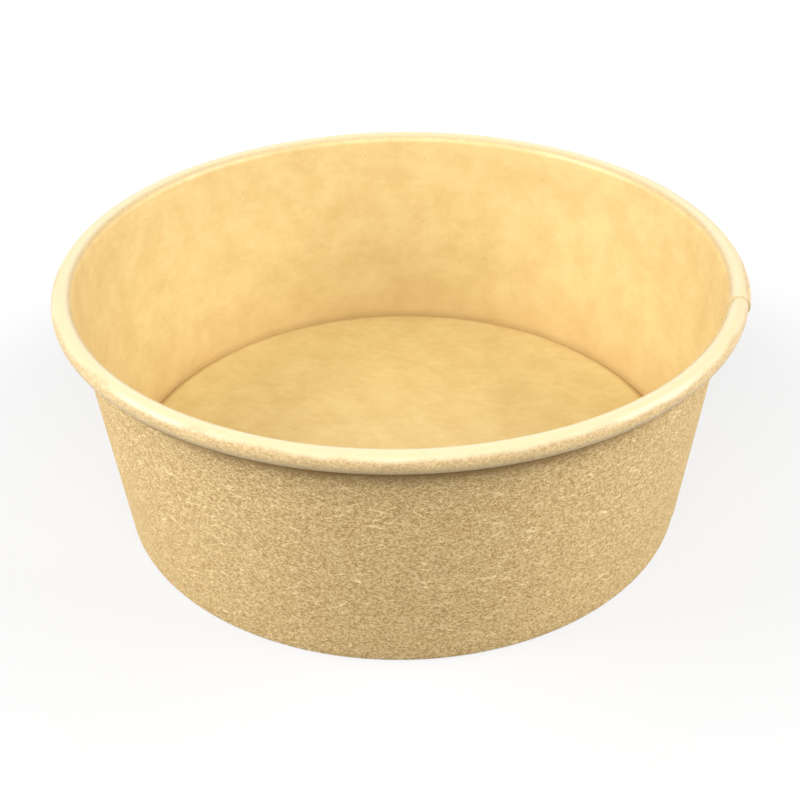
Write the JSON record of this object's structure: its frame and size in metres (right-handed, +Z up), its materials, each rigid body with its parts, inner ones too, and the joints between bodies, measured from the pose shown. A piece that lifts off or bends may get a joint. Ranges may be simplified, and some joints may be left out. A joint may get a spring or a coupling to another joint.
{
  "type": "paper bowl",
  "caption": "Round kraft paper bowl with a rolled rim, a lap seam down one side and a recessed flat base.",
  "frame": {"origin": "middle of the foot on the table plane", "axes": "+Z up along the bowl's axis, out of the open mouth; +X through the edge of the lap seam, whose overlap runs from there towards +Y"},
  "size_m": [0.1504, 0.15, 0.0576],
  "materials": {
    "kraft_wall": "matt kraft outside, satin film inside",
    "kraft_base": "satin film on the upper face, matt kraft below"
  },
  "bodies": {
    "root": {"side_wall": "kraft_wall", "base_disc": "kraft_base"}
  },
  "joints": []
}
